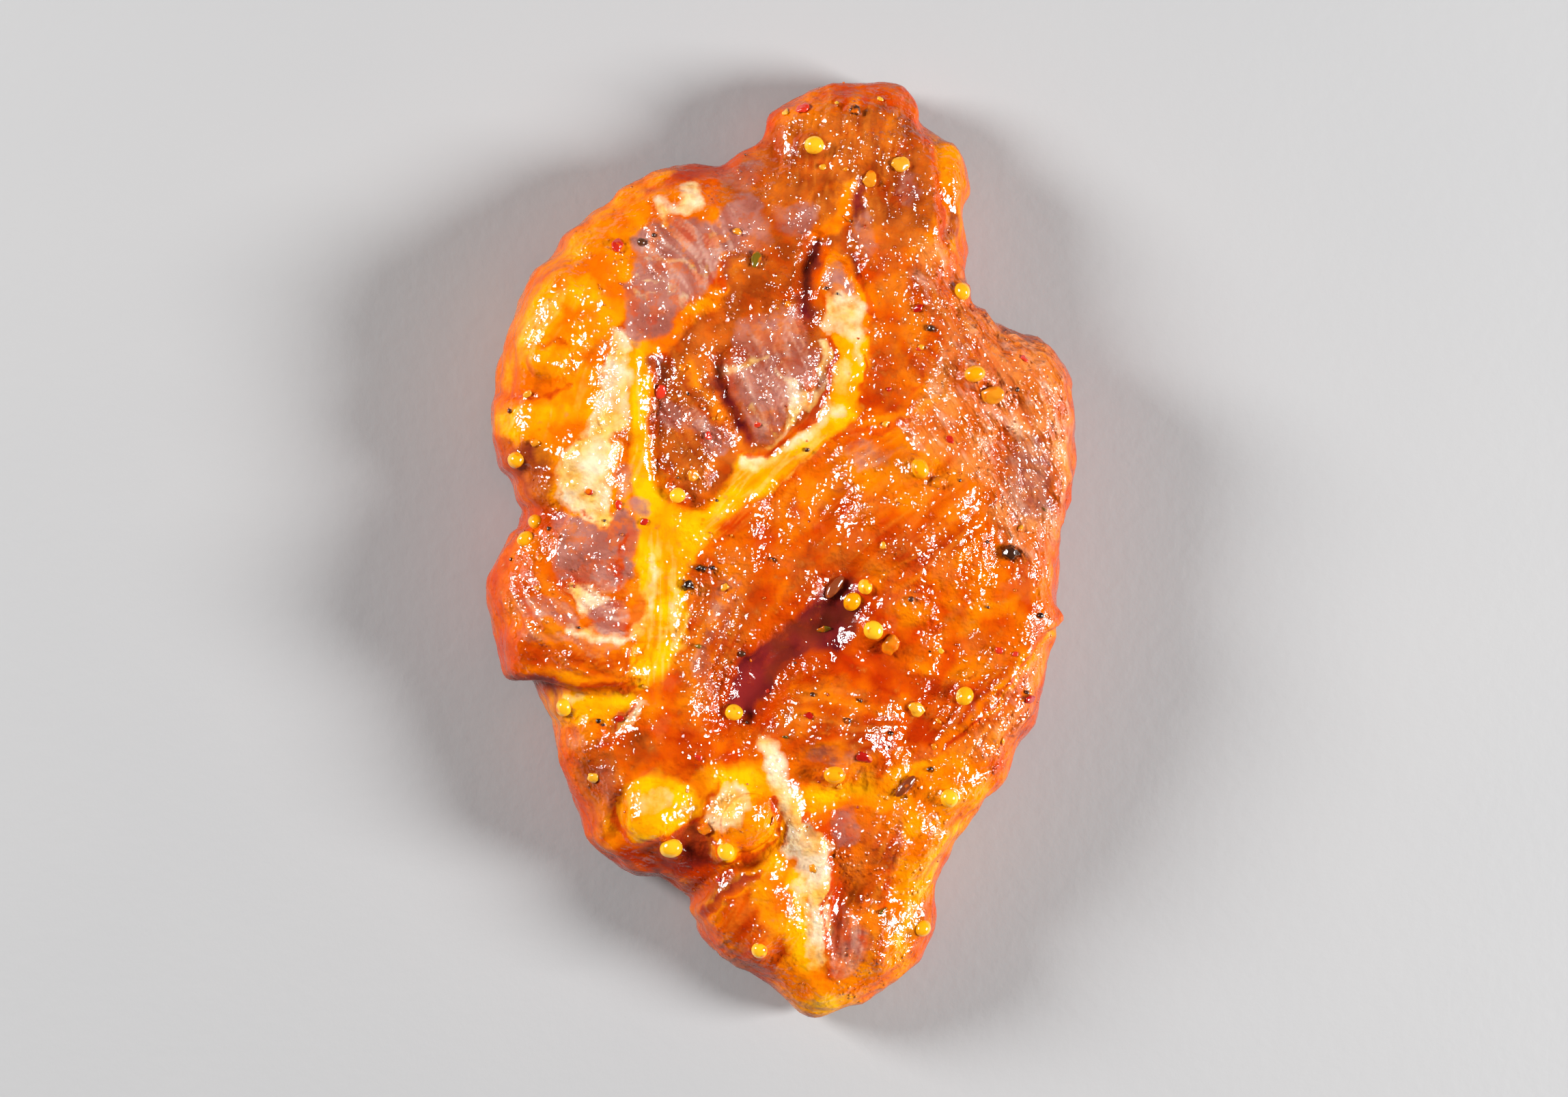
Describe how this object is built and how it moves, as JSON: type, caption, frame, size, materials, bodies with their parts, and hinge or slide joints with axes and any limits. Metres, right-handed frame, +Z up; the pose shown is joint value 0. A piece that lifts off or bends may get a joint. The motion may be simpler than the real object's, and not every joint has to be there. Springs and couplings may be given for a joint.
{
  "type": "raw pork neck steak",
  "caption": "Thick slice of raw marinated pork neck, lobed in outline, flat underneath, with folded muscles and fat seams on its face and mustard seeds and flakes stuck to it.",
  "frame": {"origin": "middle of the bounding box in plan, on the flat base", "axes": "+Z up out of the face shown, +Y along the slice to its narrow end, +X to the right as the face is seen"},
  "size_m": [0.0772, 0.1234, 0.0212],
  "materials": {
    "marinated_pork": "wet, glossy marinade over raw muscle and fat",
    "mustard_seed": "satin seed with a thin coat of marinade",
    "spice": "wet dried spice"
  },
  "bodies": {
    "root": {"steak": "marinated_pork"}
  },
  "joints": []
}
